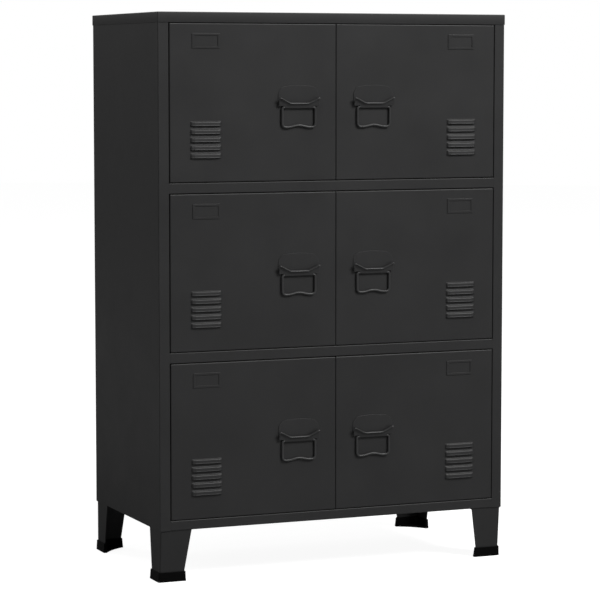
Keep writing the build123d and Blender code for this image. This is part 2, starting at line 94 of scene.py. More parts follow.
def noise(tree, scale, detail=2.0, roughness=0.5, stretch=None):
    """Fractal noise on Object coordinates; scale is in features per metre, or a socket."""
    where = tree.nodes.new("ShaderNodeTexCoord").outputs["Object"]
    if stretch:
        mapping = tree.nodes.new("ShaderNodeMapping")
        mapping.inputs["Scale"].default_value = stretch
        tree.links.new(where, mapping.inputs["Vector"])
        where = mapping.outputs[0]
    node = tree.nodes.new("ShaderNodeTexNoise")
    node.inputs["Detail"].default_value = detail
    node.inputs["Roughness"].default_value = roughness
    tree.links.new(where, node.inputs["Vector"])
    if isinstance(scale, bpy.types.NodeSocket):
        tree.links.new(scale, node.inputs["Scale"])
    else:
        node.inputs["Scale"].default_value = scale
    return node.outputs["Fac"]


def ramp(tree, value, low, high):
    """0 below low, 1 above high and a smooth rise between them."""
    node = tree.nodes.new("ShaderNodeMapRange")
    node.interpolation_type = "SMOOTHSTEP"
    node.inputs["From Min"].default_value = low
    node.inputs["From Max"].default_value = high
    tree.links.new(value, node.inputs["Value"])
    return node.outputs["Result"]


def make_powder_grain():
    """The orange-peel surface of baked powder: soft 1.5 mm waves with a 0.35 mm grain on them."""
    group, given, made = shader_group(
        "powder_grain",
        [("Peel", 0.6), ("Grain", 0.4)],
        [("Height", "NodeSocketFloat"), ("Tone", "NodeSocketFloat")],
    )
    peel = maths(group, "MULTIPLY", noise(group, 650.0, 1.0), given.outputs["Peel"])
    grain = maths(group, "MULTIPLY", noise(group, 2900.0, 2.0), given.outputs["Grain"])
    group.links.new(maths(group, "ADD", peel, grain), made.inputs["Height"])
    # Broad, faint differences in gloss, as the coat flows out thicker here and thinner there
    group.links.new(noise(group, 9.0, 4.0, 0.6), made.inputs["Tone"])
    return group


def make_edge_wear_and_highlight():
    """Folds and cut edges made lighter, partly where the coat is thin and partly as painted highlight
    for the light they catch; broken up by noise.
    """
    group, given, made = shader_group(
        "edge_wear_and_highlight", [("Radius", 0.0008), ("Cover", 0.5)], [("Mask", "NodeSocketFloat")]
    )
    bevel = group.nodes.new("ShaderNodeBevel")
    bevel.samples = 4
    group.links.new(given.outputs["Radius"], bevel.inputs["Radius"])
    shape = group.nodes.new("ShaderNodeNewGeometry")
    turn = group.nodes.new("ShaderNodeVectorMath")
    turn.operation = "DOT_PRODUCT"
    group.links.new(bevel.outputs["Normal"], turn.inputs[0])
    group.links.new(shape.outputs["Normal"], turn.inputs[1])
    edge = ramp(group, maths(group, "SUBTRACT", 1.0, turn.outputs["Value"]), 0.01, 0.22)
    patchy = maths(group, "ADD", noise(group, 55.0, 5.0, 0.65), maths(
        group, "SUBTRACT", given.outputs["Cover"], 0.5
    ))
    broken = ramp(group, patchy, 0.36, 0.62)
    group.links.new(maths(group, "MULTIPLY", edge, broken, clamp=True), made.inputs["Mask"])
    return group


def make_settled_dust():
    """Dust lies on what faces up: the share of the normal that points up, times soft patches."""
    group, given, made = shader_group(
        "settled_dust", [("Amount", 0.3)], [("Mask", "NodeSocketFloat")]
    )
    shape = group.nodes.new("ShaderNodeNewGeometry")
    split = group.nodes.new("ShaderNodeSeparateXYZ")
    group.links.new(shape.outputs["Normal"], split.inputs[0])
    facing_up = ramp(group, split.outputs["Z"], 0.25, 0.95)
    patches = maths(group, "ADD", noise(group, 14.0, 6.0, 0.6), noise(group, 240.0, 2.0))
    lying = maths(group, "MULTIPLY", facing_up, ramp(group, patches, 0.7, 1.35))
    group.links.new(
        maths(group, "MULTIPLY", lying, given.outputs["Amount"], clamp=True), made.inputs["Mask"]
    )
    return group


def make_sheet_ripple():
    """Thin sheet is never quite flat: waves about 150 mm long and a few hundredths deep."""
    group, given, made = shader_group(
        "sheet_ripple", [("Depth", 1.0)], [("Height", "NodeSocketFloat")]
    )
    wave = noise(group, 6.5, 1.0, 0.4, stretch=(1.0, 1.0, 0.7))
    group.links.new(maths(group, "MULTIPLY", wave, given.outputs["Depth"]), made.inputs["Height"])
    return group


POWDER_GRAIN = make_powder_grain()
EDGE_WEAR_AND_HIGHLIGHT = make_edge_wear_and_highlight()
SETTLED_DUST = make_settled_dust()
SHEET_RIPPLE = make_sheet_ripple()


def place_group(tree, group, **values):
    """A shader group in a material, with its inputs set."""
    node = tree.nodes.new("ShaderNodeGroup")
    node.node_tree = group
    for label, value in values.items():
        node.inputs[label].default_value = value
    return node


def blend_colours(tree, mask, first, second):
    """first where mask is 0 and second where it is 1; each is a colour or a socket."""
    node = tree.nodes.new("ShaderNodeMix")
    node.data_type = "RGBA"
    for socket, value in ((node.inputs[6], first), (node.inputs[7], second)):
        if isinstance(value, bpy.types.NodeSocket):
            tree.links.new(value, socket)
        else:
            socket.default_value = (*value, 1.0)
    tree.links.new(mask, node.inputs[0])
    return node.outputs[2]


def raise_surface(tree, height, distance, normal=None):
    """A Bump node: height 1 stands distance metres proud."""
    node = tree.nodes.new("ShaderNodeBump")
    node.inputs["Strength"].default_value = 1.0
    node.inputs["Distance"].default_value = distance
    tree.links.new(height, node.inputs["Height"])
    if normal:
        tree.links.new(normal, node.inputs["Normal"])
    return node.outputs["Normal"]


def new_material(name, roughness, metallic=0.0, specular=0.5):
    """A material with a bare Principled BSDF: its tree and that shader."""
    material = bpy.data.materials.new(name)
    material.use_nodes = True
    tree = material.node_tree
    shader = tree.nodes["Principled BSDF"]
    shader.inputs["Roughness"].default_value = roughness
    shader.inputs["Metallic"].default_value = metallic
    shader.inputs["Specular IOR Level"].default_value = specular
    return material, tree, shader


def powder_coat(name, colour, rubbed_and_highlit, gloss, wear_and_highlight=0.38, dust=0.12, ripple=0.0):
    """Baked powder coat: grain, faint gloss patches, thin coat and painted highlight on the folds, and
    a little dust.
    """
    material, tree, shader = new_material(name, gloss, specular=0.35)
    grain = place_group(tree, POWDER_GRAIN, Peel=0.6, Grain=0.4)
    worn_and_highlit = place_group(tree, EDGE_WEAR_AND_HIGHLIGHT, Radius=0.0009, Cover=wear_and_highlight)
    dusty = place_group(tree, SETTLED_DUST, Amount=dust)
    darker = tuple(0.86 * part for part in colour)
    painted = blend_colours(tree, grain.outputs["Tone"], darker, tuple(1.14 * p for p in colour))
    # Painted highlight: the folds and edges take the lighter colour, partly for the thinner coat there
    # and partly for the light they catch.
    rubbed_and_highlit_paint = blend_colours(tree, worn_and_highlit.outputs["Mask"], painted, rubbed_and_highlit)
    tree.links.new(
        blend_colours(tree, dusty.outputs["Mask"], rubbed_and_highlit_paint, HOUSE_DUST),
        shader.inputs["Base Color"],
    )
    uneven = maths(tree, "MULTIPLY", maths(tree, "SUBTRACT", grain.outputs["Tone"], 0.5), 0.22)
    sheen = maths(tree, "SUBTRACT", gloss, maths(tree, "MULTIPLY", worn_and_highlit.outputs["Mask"], 0.12))
    rough = maths(tree, "ADD", sheen, uneven)
    duller = maths(tree, "MULTIPLY", dusty.outputs["Mask"], 0.5)
    tree.links.new(maths(tree, "ADD", rough, duller, clamp=True), shader.inputs["Roughness"])
    normal = raise_surface(tree, grain.outputs["Height"], 0.00006)
    if ripple:
        wavy = place_group(tree, SHEET_RIPPLE, Depth=ripple)
        normal = raise_surface(tree, wavy.outputs["Height"], 0.0006, normal)
    tree.links.new(normal, shader.inputs["Normal"])
    return material


CARCASS_COAT = powder_coat("carcass_coat", ANTHRACITE, RUBBED_AND_HIGHLIT_COAT, 0.5, ripple=0.8)


def refinish(node, material):
    """Gives a CAD node that stays in view its material."""
    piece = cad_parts[node]
    piece.data.materials.clear()
    piece.data.materials.append(material)


for sheet in CARCASS_SHEETS:
    refinish(sheet, CARCASS_COAT)

# ----------------------------------------------------------------------
# Cap: one 0.8 mm sheet folded down on all four sides into a shallow tray, its corners welded and
# ground, and a narrow hem turned in along the lower edge. It drops over the carcass.

FOLD_R = 0.0016
SHEET = 0.0008
CAP_HEM = 0.0009


def mesh_piece(name, points, faces, material, body, smooth=True):
    """Puts arrays of points and faces into a mesh that rides on a body."""
    mesh = bpy.data.meshes.new(name)
    mesh.from_pydata(points.tolist(), [], faces)
    mesh.update()
    if smooth:
        mesh.polygons.foreach_set("use_smooth", np.ones(len(mesh.polygons), bool))
    mesh.materials.append(material)
    piece = bpy.data.objects.new(name, mesh)
    bpy.context.scene.collection.objects.link(piece)
    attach(piece, body)
    return piece


def thicken(piece, thickness, soften=0.0, side=-1.0):
    """Gives an open surface its sheet's thickness, and breaks the sheet's edges."""
    solid = piece.modifiers.new("sheet", "SOLIDIFY")
    solid.thickness = thickness
    solid.offset = side
    solid.use_even_offset = True
    if soften:
        broken = piece.modifiers.new("broken_edges", "BEVEL")
        broken.width = soften
        broken.segments = 2
        broken.limit_method = "ANGLE"
        broken.angle_limit = math.radians(50)
        broken.harden_normals = True


def quads_of(rows, closed=False):
    """The quads between neighbouring rows of vertex numbers; closed joins each row's ends."""
    rows = np.asarray(rows)
    if closed:
        rows = np.concatenate([rows, rows[:, :1]], axis=1)
    quads = np.stack([rows[:-1, :-1], rows[:-1, 1:], rows[1:, 1:], rows[1:, :-1]], axis=-1)
    return quads.reshape(-1, 4)


def tidy_faces(quads):
    """Quads as lists, with those that have two equal corners in a row made triangles."""
    same = quads == np.roll(quads, -1, axis=1)
    whole = quads[~same.any(axis=1)].tolist()
    pinched = quads[same.sum(axis=1) == 1]
    keep = ~same[same.sum(axis=1) == 1]
    return whole + pinched[keep].reshape(-1, 3).tolist()


def fold_profile(depth, lip, front_r=FOLD_R, back_r=0.001, steps=4):
    """A tray's wall from its face to the end of its rim, as (outwards, back) distances.

    A quarter circle turns the face into the wall, the wall runs straight back, and a second
    quarter circle turns it in to the rim. Outwards is measured from where the first one starts.
    """
    turn = np.linspace(0, np.pi / 2, steps + 1)[1:]
    front = np.stack([front_r * np.sin(turn), front_r * (1 - np.cos(turn))], axis=1)
    turn = np.linspace(0, np.pi / 2, steps + 1)
    back = np.stack(
        [front_r - back_r * (1 - np.cos(turn)), depth - back_r + back_r * np.sin(turn)], axis=1
    )
    rim = [[min(0.0, back[-1, 0]), depth], [front_r - lip, depth]]
    return np.concatenate([front, back, rim if lip > front_r else rim[1:]])


def tray(across, along, depth_at, profile, slits=(), fan=4):
    """A folded tray: a face on a grid of lines, and a wall and rim carried round its edge.

    across and along are the grid's lines in increasing order, depth_at gives each grid point's
    depth, and slits are pairs (row, columns) of a doubled line that is open there. The wall at
    profile distances (d, h) is the face's rectangle grown by a circle of radius d, or shrunk
    where d is below zero, at depth h. Returns points (across, along, depth) and faces.
    """
    u, v = np.meshgrid(across, along)
    points = np.stack([u, v, depth_at], axis=-1).reshape(-1, 3)
    number = np.arange(len(points)).reshape(u.shape)
    doubled = np.zeros(len(along), bool)
    gap = np.zeros((len(along) - 1, len(across) - 1), bool)
    for row, columns in slits:
        outside = np.ones(len(across), bool)
        outside[columns] = False
        number[row + 1, outside] = number[row, outside]
        doubled[row + 1] = True
        gap[row] = True
    grid = quads_of(number).reshape(len(along) - 1, len(across) - 1, 4)
    faces = [grid[~gap]]

    single = np.flatnonzero(~doubled)
    sides = (
        (number[0, :], (0, -1)),
        (number[single, -1], (1, 0)),
        (number[-1, ::-1], (0, 1)),
        (number[single[::-1], 0], (-1, 0)),
    )
    around, outward = [], []
    for here, (edge, normal) in enumerate(sides):
        around.append(edge)
        outward.append(np.tile(normal, (len(edge), 1)))
        start = math.atan2(normal[1], normal[0])
        swing = start + np.linspace(0, np.pi / 2, fan + 2)[1:-1]
        around.append(np.full(fan, edge[-1]))
        outward.append(np.stack([np.cos(swing), np.sin(swing)], axis=1))
    around = np.concatenate(around)
    outward = np.concatenate(outward)
    base = points[around, :2]
    low, high = base.min(axis=0), base.max(axis=0)
    rings = [around]
    for d, h in profile:
        inset = max(-d, 0.0)
        flat = np.clip(base, low + inset, high - inset) + max(d, 0.0) * outward
        rings.append(len(points) + np.arange(len(around)))
        points = np.concatenate([points, np.column_stack([flat, np.full(len(around), h)])])
    faces.append(quads_of(np.array(rings), closed=True)[:, ::-1])
    faces = np.concatenate(faces)
    used, faces = np.unique(faces, return_inverse=True)
    return points[used], tidy_faces(faces.reshape(-1, 4))


def fold_lines(low, high, spacing, guard=0.0004):
    """Evenly spaced lines from low to high, and one close inside each end to keep it flat."""
    steps = max(2, math.ceil((high - low) / spacing) + 1)
    return np.concatenate([[low], np.linspace(low + guard, high - guard, steps), [high]])


def make_cap():
    """The cap is a tray whose face looks up: depth is measured down from its top."""
    low = np.array(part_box("top_skirt")[0])
    high = np.array(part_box("top_panel")[1])
    across = fold_lines(low[0] + FOLD_R, high[0] - FOLD_R, 0.05)
    along = fold_lines(low[1] + FOLD_R, high[1] - FOLD_R, 0.05)
    flat = np.zeros((len(along), len(across)))
    profile = fold_profile(high[2] - low[2], FOLD_R + CAP_HEM, back_r=0.0006)[:-2]
    points, faces = tray(across, along, flat, profile)
    points[:, 2] = high[2] - points[:, 2]
    cap = mesh_piece("cap", points, faces, CARCASS_COAT, "carcass")
    thicken(cap, SHEET)
    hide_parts("top_panel", "top_skirt")


make_cap()

# ----------------------------------------------------------------------
# Weld fillers: where each rail meets a stile, the groove left by the stile's fold is filled with
# weld and ground flush before coating, so that the front frame reads as one piece.


def extrude_outline(outline, low, high):
    """A closed prism: a ring of (x, y) points at two heights, with both ends capped."""
    ring = len(outline)
    points = np.concatenate(
        [np.column_stack([outline, np.full(ring, height)]) for height in (low, high)]
    )
    number = np.arange(2 * ring).reshape(2, ring)
    faces = quads_of(number, closed=True).tolist()
    faces += [number[0, ::-1].tolist(), number[1].tolist()]
    return points, faces


def join_shapes(shapes):
    """Several (points, faces) as one."""
    points, faces, count = [], [], 0
    for some_points, some_faces in shapes:
        points.append(some_points)
        faces += [[count + index for index in face] for face in some_faces]
        count += len(some_points)
    return np.concatenate(points), faces


def make_weld_fillers():
    """Each filler's outline follows the stile's fold round, then runs straight along the front."""
    stile_low, stile_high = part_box("left_side_panel")
    stile_edge = stile_high.x
    turn = np.linspace(0, np.pi / 2, 7)
    fold = np.stack([FOLD_R * np.sin(turn) - FOLD_R, FOLD_R * (1 - np.cos(turn))], axis=1)
    back = FOLD_R * 0.9
    across = np.concatenate([fold[fold[:, 1] < back], [[0.0, back], [0.0004, back], [0.0004, 0.0]]])
    front_y = stile_low.y
    shapes = []
    for rail in ("top_rail", "upper_shelf", "lower_shelf", "base_panel"):
        low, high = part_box(rail)
        for side in (1, -1):
            outline = np.stack(
                [side * (stile_edge + across[:, 0]), front_y + across[:, 1]], axis=1
            )
            if side < 0:
                outline = outline[::-1]
            shapes.append(extrude_outline(outline, low.z + 0.0003, high.z - 0.0003))
    points, faces = join_shapes(shapes)
    mesh_piece("weld_fillers", points, faces, CARCASS_COAT, "carcass", False)


make_weld_fillers()

# ----------------------------------------------------------------------
# Rivets: aluminium pop rivets hold the back to the side panels' rear flanges. They go in after
# the coating, so they are bare. Each has a domed head with the stub of its mandrel in the middle.

RIVETS_A_SIDE = 6
RIVET_HEAD_R = 0.0036
RIVET_HEAD = 0.001


def bare_metal(name, colour, roughness):
    """Bare metal: fine grain in the gloss, and darker, duller patches where it is handled."""
    material, tree, shader = new_material(name, roughness, metallic=1.0)
    patches = noise(tree, 160.0, 5.0, 0.6)
    dark = tuple(0.55 * part for part in colour)
    tarnish = ramp(tree, patches, 0.45, 0.75)
    tree.links.new(blend_colours(tree, tarnish, colour, dark), shader.inputs["Base Color"])
    uneven = maths(tree, "MULTIPLY", maths(tree, "SUBTRACT", patches, 0.5), 0.24)
    tree.links.new(maths(tree, "ADD", uneven, roughness, clamp=True), shader.inputs["Roughness"])
    fine = noise(tree, 2600.0, 2.0)
    tree.links.new(raise_surface(tree, fine, 0.00001), shader.inputs["Normal"])
    return material


def turned(profile, places, axis, sides=16):
    """Shapes turned on a lathe: a profile of (along, radius) carried round an axis.

    axis is "X", "Y" or "Z", or the same with a minus sign for a profile that runs the other way.
    A profile whose first and last radius are both 0 is closed by its poles, and any other is
    closed on itself.
    """
    profile = np.array(profile)
    angle = np.linspace(0, 2 * np.pi, sides, endpoint=False)
    way = -1.0 if axis[0] == "-" else 1.0
    along = np.broadcast_to(way * profile[:, :1], (len(profile), sides))
    first = profile[:, 1:] * np.cos(angle)
    second = way * profile[:, 1:] * np.sin(angle)
    order = {"X": (along, first, second), "Y": (second, along, first), "Z": (first, second, along)}
    ring = np.stack(order[axis[-1]], axis=-1)
    number = np.arange(len(profile) * sides).reshape(len(profile), sides)
    poles = profile[0, 1] == 0 and profile[-1, 1] == 0
    if poles:
        number[0], number[-1] = number[0, 0], number[-1, 0]
    else:
        number = np.concatenate([number, number[:1]])
    used, faces = np.unique(quads_of(number, closed=True), return_inverse=True)
    faces = tidy_faces(faces.reshape(-1, 4)[:, ::-1])
    points = ring.reshape(-1, 3)[used]
    return join_shapes([(points + np.array(place), faces) for place in places])


RIVET_ALUMINIUM = bare_metal("rivet_aluminium", (0.62, 0.62, 0.61), 0.38)


def make_rivets():
    """Heads stand on the back panel's outer face, in a row up each side."""
    low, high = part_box("back_panel_rivets")
    dome = np.linspace(0, 1, 5)
    head = [
        (-0.0022, 0.0),
        (-0.0022, 0.0017),
        (-0.0018, 0.0019),
        (0.0, 0.0019),
        (0.0, RIVET_HEAD_R - 0.0001),
    ]
    head += [
        (RIVET_HEAD * math.sin(step * 1.4), RIVET_HEAD_R * math.cos(step * 1.15)) for step in dome
    ]
    head += [(0.0007, 0.0012), (0.0006, 0.0009), (0.0008, 0.0008), (0.00085, 0.0)]
    heights = np.linspace(low.z + RIVET_HEAD_R, high.z - RIVET_HEAD_R, RIVETS_A_SIDE)
    reach = high.x - RIVET_HEAD_R
    places = [(side * reach, high.y - RIVET_HEAD, z) for side in (-1, 1) for z in heights]
    points, faces = turned(head, places, "Y")
    rivets = mesh_piece("pop_rivets", points, faces, RIVET_ALUMINIUM, "carcass")
    rivets.data.shade_smooth()
    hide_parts("back_panel_rivets")


make_rivets()

# ----------------------------------------------------------------------
# Legs: a tapered angle of 2 mm sheet with a flange that is bolted up under the base, coated like
# the carcass. The front pair leans back a little.

for leg in ("front_left", "front_right", "rear_left", "rear_right"):
    refinish(f"{leg}_leg", CARCASS_COAT)

# ----------------------------------------------------------------------
# Leg bolts: zinc-plated button heads with a socket, driven up through each leg's flange into the
# base, two to a leg. Their threads stand up inside the lowest compartments.

BOLT_HEAD_R = 0.0055
BOLT_HEAD = 0.0032
BOLT_R = 0.003
BOLT_ACROSS = 0.032  # between a leg's two bolts
BOLT_STAGGER = 0.010
THREAD_PITCH = 0.001
ZINC_PLATE = bare_metal("zinc_plate", (0.52, 0.53, 0.54), 0.32)


def make_leg_bolts():
    """Each bolt is one profile, from its socket round the head and up its threads."""
    low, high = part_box("leg_bolts")
    seat = low.z + BOLT_HEAD
    rounding = np.radians(np.linspace(0, 80, 6))
    head = [(-BOLT_HEAD * 0.35, 0.0), (-BOLT_HEAD * 0.45, 0.0014), (-BOLT_HEAD * 0.97, 0.0017)]
    head += [
        (-BOLT_HEAD * math.cos(turn), 0.0022 + (BOLT_HEAD_R - 0.0022) * math.sin(turn))
        for turn in rounding
    ]
    head += [(0.0, BOLT_HEAD_R), (0.0, BOLT_R)]
    top = high.z - seat
    crests = np.arange(0.004, top - 0.001, THREAD_PITCH)
    for crest in crests:
        head += [(crest, BOLT_R - 0.0005), (crest + THREAD_PITCH / 2, BOLT_R)]
    head += [(top - 0.0002, BOLT_R - 0.0006), (top, BOLT_R - 0.0009), (top, 0.0)]
    outer, inner = high.x - BOLT_HEAD_R, high.x - BOLT_HEAD_R - BOLT_ACROSS
    places = []
    for side in (-1, 1):
        for edge, inwards in ((low.y + BOLT_HEAD_R, 1), (high.y - BOLT_HEAD_R, -1)):
            places += [(side * inner, edge, seat), (side * outer, edge + inwards * BOLT_STAGGER, seat)]
    points, faces = turned(head, places, "Z")
    bolts = mesh_piece("leg_bolt_set", points, faces, ZINC_PLATE, "carcass", smooth=False)
    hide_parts("leg_bolts")


make_leg_bolts()

# ----------------------------------------------------------------------
# Feet: black moulded plastic shoes pushed up over the legs' ends. They flare towards the floor,
# and the sole fills the angle with a hollow-edged web so that it doesn't dig in.

LEG_HEIGHT = 0.103
LEG_TOP_WIDTH = 0.0645
LEG_FOOT_WIDTH = 0.048  # along X
LEG_FOOT_DEPTH = 0.043  # along Y
LEG_SHEET = 0.002
LEG_LEAN = 0.0086
LEG_REACH = 0.372
LEG_INSET = 0.002
FOOT_H = 0.020
SOLE = 0.0045
SOLE_HOLLOW = 0.0045  # how far the web's edge bows in
FOOT_GROW = (0.003, 0.0021)  # how far the foot stands out from the leg, at the floor and on top
FOOT_END_GROW = (0.0068, 0.0022)  # the same at the ends of its arms
FOOT_CORNER_R = 0.0045
FOOT_EDGE_R = 0.0016
FOOT_WEB_R = 0.010


def black_plastic(name, roughness):
    """Moulded black plastic with a fine spark-eroded texture and a dusty bloom."""
    material, tree, shader = new_material(name, roughness, specular=0.08)
    dusty = place_group(tree, SETTLED_DUST, Amount=0.06)
    tone = blend_colours(tree, noise(tree, 35.0, 3.0), (0.0008, 0.0008, 0.0009), (0.0018,) * 3)
    tree.links.new(
        blend_colours(tree, dusty.outputs["Mask"], tone, (0.06, 0.058, 0.054)),
        shader.inputs["Base Color"],
    )
    texture = noise(tree, 3200.0, 2.0)
    tree.links.new(raise_surface(tree, texture, 0.00004), shader.inputs["Normal"])
    return material


FOOT_PLASTIC = black_plastic("foot_plastic", 0.5)


def soften_corner(corner, before, after, radius, steps=6):
    """A corner of an outline as a curve: each end is radius away, and a parabola joins them."""
    corner, before, after = (np.array(p, float) for p in (corner, before, after))
    start = corner + radius * (before - corner) / np.linalg.norm(before - corner)
    end = corner + radius * (after - corner) / np.linalg.norm(after - corner)
    t = np.linspace(0, 1, steps)[:, None]
    return (1 - t) ** 2 * start + 2 * t * (1 - t) * corner + t**2 * end


def foot_outline(height, inset=0.0):
    """The shoe's angle at one height, in distances in from the leg's outer corner."""
    down = 1 - height / FOOT_H
    grow = FOOT_GROW[1] + (FOOT_GROW[0] - FOOT_GROW[1]) * down - inset
    end = FOOT_END_GROW[1] + (FOOT_END_GROW[0] - FOOT_END_GROW[1]) * down - inset
    taper = height / LEG_HEIGHT
    width = LEG_FOOT_WIDTH + (LEG_TOP_WIDTH - LEG_FOOT_WIDTH) * taper + end
    depth = LEG_FOOT_DEPTH + (LEG_TOP_WIDTH - LEG_FOOT_DEPTH) * taper + end
    inside = LEG_SHEET + grow
    corners = [
        (-grow, -grow), (width, -grow), (width, inside),
        (inside, inside), (inside, depth), (-grow, depth),
    ]
    radii = [FOOT_CORNER_R, FOOT_EDGE_R, FOOT_EDGE_R, FOOT_WEB_R, FOOT_EDGE_R, FOOT_EDGE_R]
    return np.concatenate([
        soften_corner(corners[n], corners[n - 1], corners[(n + 1) % 6], radii[n]) for n in range(6)
    ])


def sole_outline(inset):
    """The web: the shoe's two outer edges, and a hollow curve from one arm's end to the other."""
    grow, end = FOOT_GROW[0] - inset, FOOT_END_GROW[0] - inset
    width, depth, inside = LEG_FOOT_WIDTH + end, LEG_FOOT_DEPTH + end, LEG_SHEET + grow
    share = np.linspace(0, 1, 17)
    bow = 4 * share * (1 - share) * SOLE_HOLLOW / math.sqrt(2)
    hollow = np.stack(
        [width + (inside - width) * share - bow, inside + (depth - inside) * share - bow], axis=1
    )
    corner = soften_corner((-grow, -grow), (-grow, depth), (width, -grow), FOOT_CORNER_R)
    return np.concatenate([corner, [(width, -grow)], hollow, [(-grow, depth)]])


def stack_outlines(levels):
    """A closed solid through outlines [(height, points)], with a flat face at each end."""
    count = len(levels[0][1])
    points = np.concatenate([np.column_stack([ring, np.full(count, z)]) for z, ring in levels])
    number = np.arange(len(points)).reshape(len(levels), count)
    faces = quads_of(number, closed=True).tolist()
    return points, faces + [number[0, ::-1].tolist(), number[-1].tolist()]


def make_foot(end, side):
    """The shoe and its sole, turned to the corner they stand at."""
    shoe = [(0.0, foot_outline(0.0, 0.0005)), (0.0005, foot_outline(0.0005))]
    shoe += [(z, foot_outline(z)) for z in (0.007, 0.0135, FOOT_H - 0.0006)]
    shoe += [(FOOT_H - 0.0002, foot_outline(FOOT_H, 0.0002)), (FOOT_H, foot_outline(FOOT_H, 0.0006))]
    web = [(0.0002, sole_outline(0.0008)), (0.0008, sole_outline(0.0003))]
    web += [(SOLE - 0.0005, sole_outline(0.0003)), (SOLE, sole_outline(0.0008))]
    points, faces = join_shapes([stack_outlines(shoe), stack_outlines(web)])
    sign_x = -1.0 if side == "left" else 1.0
    sign_y = -1.0 if end == "front" else 1.0
    lean = LEG_LEAN if end == "front" else 0.0
    low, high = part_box("left_side_panel")
    face_y = low.y if end == "front" else high.y
    inwards_y = LEG_INSET + lean * (1 - points[:, 2] / LEG_HEIGHT) + points[:, 1]
    points = np.column_stack(
        [sign_x * (LEG_REACH - points[:, 0]), face_y - sign_y * inwards_y, points[:, 2]]
    )
    if sign_x * sign_y < 0:
        faces = [face[::-1] for face in faces]
    shoe = mesh_piece(
        f"{end}_{side}_shoe", points, faces, FOOT_PLASTIC, "carcass", smooth=False
    )
    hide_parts(f"{end}_{side}_foot")


for end in ("front", "rear"):
    for side in ("left", "right"):
        make_foot(end, side)

# ----------------------------------------------------------------------
# Hinge bushes: black nylon, pressed into the frame above and below each door. The collar keeps
# the door's edge off the frame, and the pin turns in the bore.

DOOR_GAP = 0.002
BUSH_R = 0.003
BUSH_COLLAR_R = 0.0042
BUSH_BORE = 0.00205
BUSH_TAIL = 0.0038
BUSH_COLLARS = {"above": 0.001, "below": 0.0017}
DOOR_NAMES = [f"{row}_{side}" for row in ("upper", "middle", "lower") for side in ("left", "right")]
NYLON = black_plastic("black_nylon", 0.38)


def hinge_axis(name):
    """X and Y of a door's hinge pins."""
    low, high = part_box(f"{name}_hinge_pins")
    return (low.x + high.x) / 2, (low.y + high.y) / 2


def make_hinge_bushes():
    """Collar, tail and bore in one closed profile, measured from the frame's edge."""
    shapes = []
    for side, collar in BUSH_COLLARS.items():
        profile = [
            (BUSH_TAIL, BUSH_BORE),
            (BUSH_TAIL, BUSH_R - 0.0003),
            (BUSH_TAIL - 0.0005, BUSH_R),
            (0.0, BUSH_R),
            (0.0, BUSH_COLLAR_R),
            (-collar + 0.0003, BUSH_COLLAR_R),
            (-collar, BUSH_COLLAR_R - 0.0003),
            (-collar, BUSH_BORE + 0.0002),
            (-collar + 0.0002, BUSH_BORE),
        ]
        places = []
        for name in DOOR_NAMES:
            low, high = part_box(f"{name}_door")
            edge = high.z + DOOR_GAP if side == "above" else low.z - DOOR_GAP
            places.append((*hinge_axis(name), edge))
        shapes.append(turned(profile[::-1], places, "Z" if side == "above" else "-Z", sides=20))
    points, faces = join_shapes(shapes)
    bushes = mesh_piece("bush_set", points, faces, NYLON, "carcass", smooth=False)
    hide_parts("hinge_bushes")


make_hinge_bushes()

# ----------------------------------------------------------------------
# Catches: a black plastic housing screwed up behind each rail, with a magnet held between two
# steel pole plates that meet the door's rim.

CATCH_DEPTH = 0.001  # the pole plates stand this far out of the housing
POLE = 0.0012
POLE_END = 0.006  # housing past each end of a pole plate
CATCH_PLASTIC = black_plastic("catch_plastic", 0.42)
POLE_STEEL = bare_metal("pole_steel", (0.42, 0.42, 0.41), 0.36)


def block_shape(low, high):
    """The six sides of a box between two corners, outwards."""
    corners = np.array([[x, y, z] for z in (low[2], high[2]) for y in (low[1], high[1])
                        for x in (low[0], high[0])])
    faces = [[0, 2, 3, 1], [4, 5, 7, 6], [0, 1, 5, 4], [2, 6, 7, 3], [0, 4, 6, 2], [1, 3, 7, 5]]
    return corners, faces


def rounded_piece(name, shapes, material, body, radius):
    """Plain blocks with their edges rounded."""
    points, faces = join_shapes(shapes)
    piece = mesh_piece(name, points, faces, material, body)
    rounding = piece.modifiers.new("rounding", "BEVEL")
    rounding.width = radius
    rounding.segments = 3
    rounding.limit_method = "ANGLE"
    rounding.harden_normals = True
    return piece


def solids_of(node):
    """The boxes of a CAD node's separate solids, from the corners that its triangles share."""
    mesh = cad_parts[node].data
    points = np.array([v.co for v in mesh.vertices])
    _, joined = np.unique(np.round(points, 6), axis=0, return_inverse=True)
    joined = joined.ravel()
    group = np.arange(joined.max() + 1)
    edges = joined[np.array([edge.vertices for edge in mesh.edges])]
    while True:
        least = np.minimum(group[edges[:, 0]], group[edges[:, 1]])
        merged = group.copy()
        np.minimum.at(merged, edges[:, 0], least)
        np.minimum.at(merged, edges[:, 1], least)
        if (merged == group).all():
            break
        group = merged
    own = group[joined]
    return [(points[own == g].min(axis=0), points[own == g].max(axis=0)) for g in np.unique(own)]


def make_catches():
    """Each catch's housing and poles fill the box of its CAD solid."""
    housings, poles = [], []
    for low, high in solids_of("magnetic_catches"):
        housings.append(block_shape(low + (0, CATCH_DEPTH, 0), high))
        for side in (-1, 1):
            middle = (low[2] + high[2]) / 2 + side * (high[2] - low[2]) * 0.22
            poles.append(block_shape(
                (low[0] + POLE_END, low[1], middle - POLE / 2),
                (high[0] - POLE_END, low[1] + 3 * CATCH_DEPTH, middle + POLE / 2),
            ))
    housing = rounded_piece(
        "catch_housings", housings, CATCH_PLASTIC, "carcass", 0.0009
    )
    rounded_piece("catch_poles", poles, POLE_STEEL, "carcass", 0.0002)
    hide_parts("magnetic_catches")


make_catches()

# ----------------------------------------------------------------------
# Hinge pins: headed steel pins, zinc plated and staked into the door's upper and lower edge.

PIN_R = 0.002
PIN_HEAD_R = 0.0035
PIN_HEAD = 0.0015


